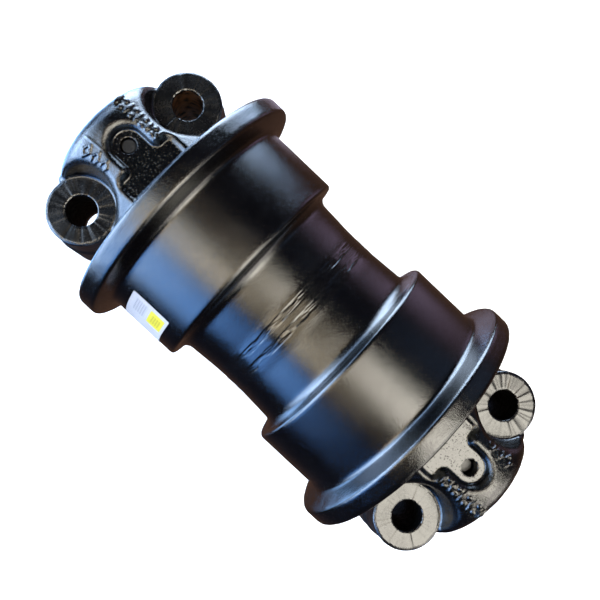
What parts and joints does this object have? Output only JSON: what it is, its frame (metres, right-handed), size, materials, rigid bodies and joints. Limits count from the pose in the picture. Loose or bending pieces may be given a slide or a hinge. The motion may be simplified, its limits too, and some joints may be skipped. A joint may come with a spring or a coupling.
{
  "type": "track roller",
  "caption": "Double-flanged bottom roller for a crawler undercarriage: a welded two-piece shell that spins on a fixed shaft between two cast collars that bolt to the track frame.",
  "frame": {"origin": "middle of the roller, on the shaft's axis", "axes": "+Y along the shaft's axis, the axis the shell spins about; +Z out of the bolt seats, away from the track frame; -Z is the side that meets the track frame"},
  "size_m": [0.216, 0.41, 0.216],
  "materials": {
    "shell_paint": "satin black paint over forged and turned steel, fine turning marks",
    "cast_paint": "gloss black paint over sand-cast steel, machined seats under thinner paint",
    "weld_paint": "black paint over a ground weld, ragged and rough",
    "shaft_steel": "ground steel, black paint on the end faces",
    "bronze": "turned bronze",
    "seal_metal": "lapped alloy iron",
    "rubber": "matt nitrile rubber",
    "pin_paint": "black paint over steel",
    "plug_steel": "zinc-plated steel, dulled",
    "copper": "annealed copper",
    "label_paper": "white paper label with a yellow patch, no lettering"
  },
  "bodies": {
    "mounting": {"shaft": "shaft_steel", "oil_plug": "plug_steel", "plug_washer": "copper", "collar_left": "cast_paint", "seal_ring_collar_left": "seal_metal", "toric_collar_left": "rubber", "o_ring_left": "rubber", "lock_pin_left": "pin_paint", "collar_right": "cast_paint", "seal_ring_collar_right": "seal_metal", "toric_collar_right": "rubber", "o_ring_right": "rubber", "lock_pin_right": "pin_paint"},
    "roller": {"weld_seam": "weld_paint", "label": "label_paper", "shell_left": "shell_paint", "bushing_left": "bronze", "seal_ring_shell_left": "seal_metal", "toric_shell_left": "rubber", "shell_right": "shell_paint", "bushing_right": "bronze", "seal_ring_shell_right": "seal_metal", "toric_shell_right": "rubber"}
  },
  "joints": [
    {"name": "roller_spin", "type": "hinge", "parent": "mounting", "child": "roller", "pos_m": [0, 0, 0], "axis": [0, 1, 0], "continuous": true}
  ]
}
